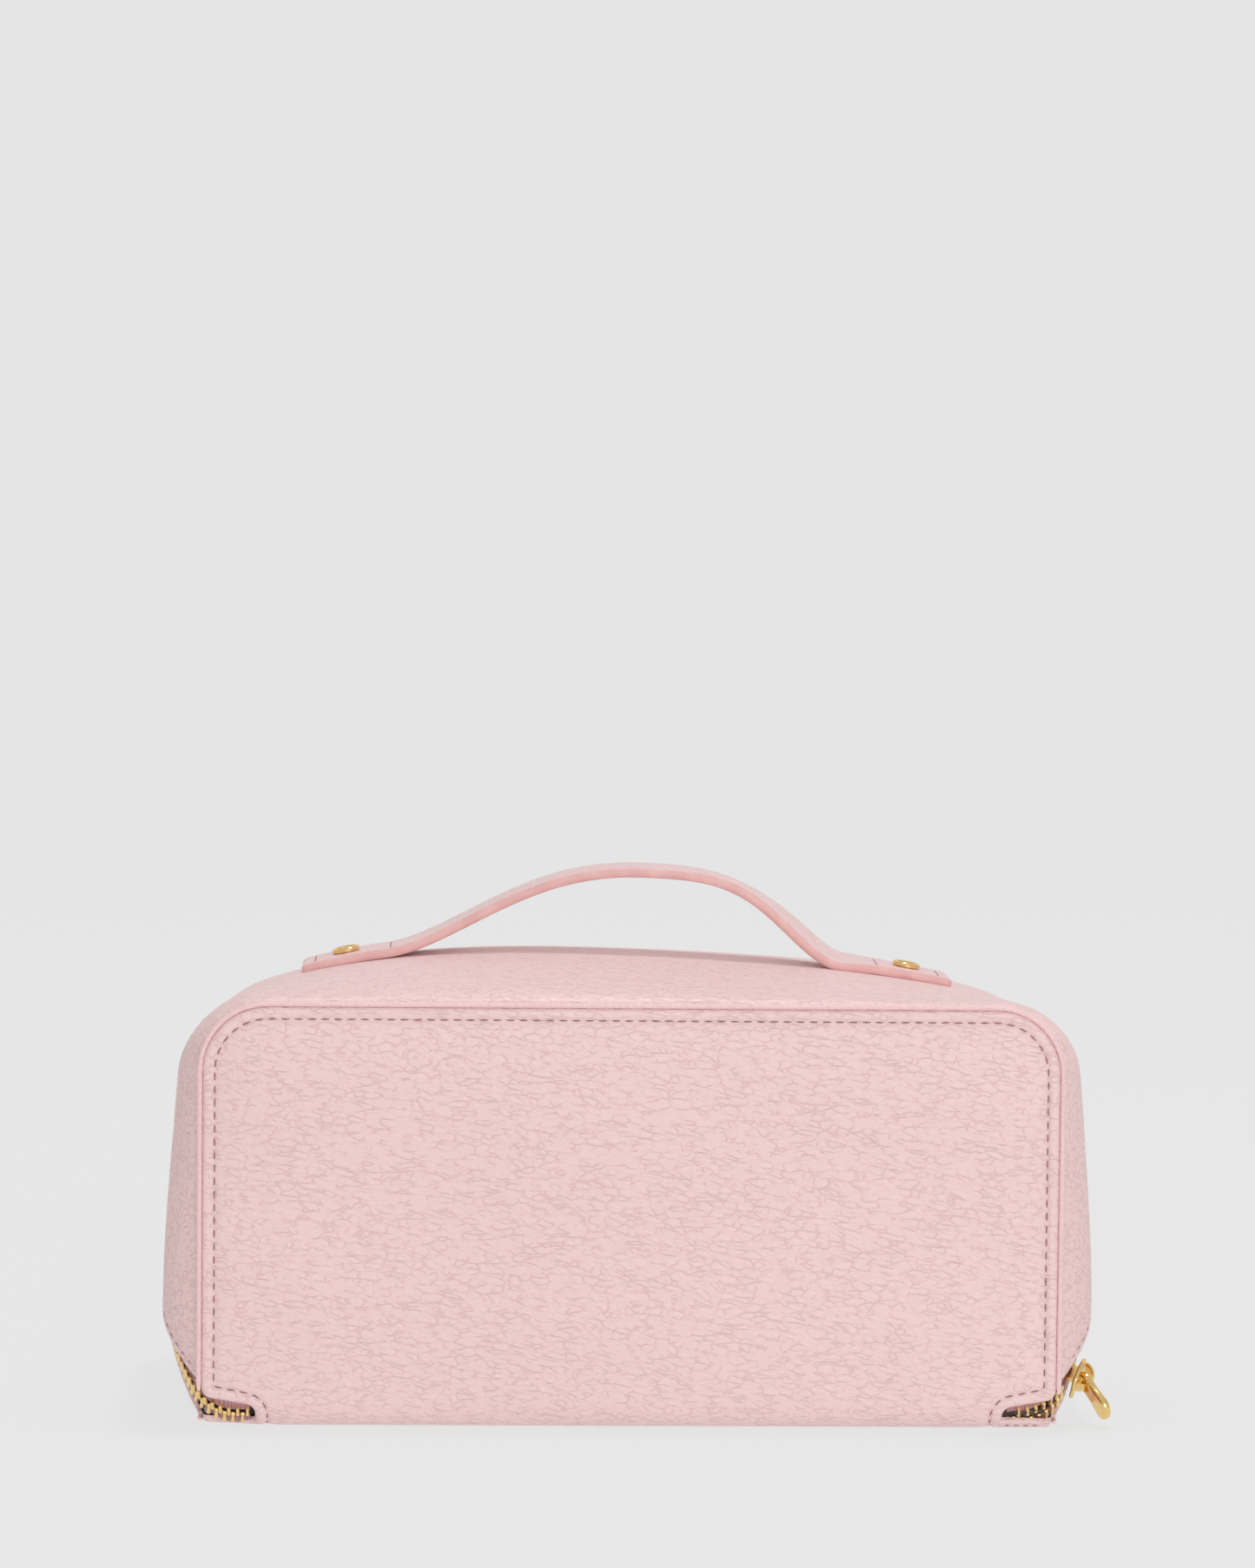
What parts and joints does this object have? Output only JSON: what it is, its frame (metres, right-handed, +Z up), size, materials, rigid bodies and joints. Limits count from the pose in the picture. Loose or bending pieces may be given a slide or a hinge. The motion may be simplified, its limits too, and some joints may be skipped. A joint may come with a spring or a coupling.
{
  "type": "makeup train case",
  "caption": "Soft leather makeup case of two zipped wedge trays that open flat about a leather hinge, with a strap handle on top.",
  "frame": {"origin": "centre of the base's underside", "axes": "+X along the case's length, +Y from the hinged back panel to the front, +Z up"},
  "size_m": [0.247, 0.1179, 0.1421],
  "materials": {
    "pink_leather": "pebbled grain, semi-matte",
    "edge_paint": "smooth painted leather edge",
    "zip_tape": "woven polyester tape",
    "lining": "woven lining cloth",
    "board": "grey stiffener board",
    "foam": "soft white foam",
    "gold": "polished gold plating",
    "elastic": "ribbed elastic"
  },
  "bodies": {
    "base": {"bottom_panel": "pink_leather", "bottom_board": "board", "base_lining_floor": "lining", "base_gusset": "pink_leather", "base_foam": "foam", "base_lining": "lining", "bottom_piping": "edge_paint", "hinge_leather": "pink_leather", "base_zip_tape": "zip_tape", "base_teeth": "gold", "base_teeth_end": "gold", "divider_left": "lining", "divider_right": "lining"},
    "cover": {"back_panel": "pink_leather", "back_board": "board", "cover_lining_floor": "lining", "cover_gusset": "pink_leather", "cover_foam": "foam", "cover_lining": "lining", "back_piping": "edge_paint", "cover_zip_tape": "zip_tape", "cover_teeth": "gold", "cover_teeth_end": "gold", "handle_strap": "pink_leather", "handle_backing": "edge_paint", "stud_left": "gold", "stud_right": "gold", "stud_nut_left": "gold", "stud_nut_right": "gold"},
    "brush_flap": {"brush_flap": "lining", "brush_loop_1": "elastic", "brush_loop_2": "elastic", "brush_loop_3": "elastic", "brush_loop_4": "elastic", "brush_loop_5": "elastic"},
    "slider": {"slider_body": "gold", "slider_bridge": "gold"},
    "pull": {"pull_tab": "gold"}
  },
  "joints": [
    {"name": "cover_hinge", "type": "hinge", "parent": "base", "child": "cover", "pos_m": [0, -0.05433, 0.00167], "axis": [1, 0, 0], "range_deg": [0, 90], "deforming": ["hinge_leather"]},
    {"name": "slider_travel", "type": "slide", "parent": "base", "child": "slider", "axis": [0.383, 0.659, 0.6474], "range_m": [0, 0.012], "deforming": ["base_teeth", "base_zip_tape", "cover_teeth", "cover_zip_tape"]},
    {"name": "pull_swing", "type": "hinge", "parent": "slider", "child": "pull", "pos_m": [0.1189, -0.0435, 0.0122], "axis": [-0.0458, 0.7135, -0.6992], "range_deg": [-117, 38]},
    {"name": "flap_hinge", "type": "hinge", "parent": "cover", "child": "brush_flap", "pos_m": [0, -0.0481, 0.016], "axis": [-1, 0, 0], "range_deg": [0, 35]}
  ]
}
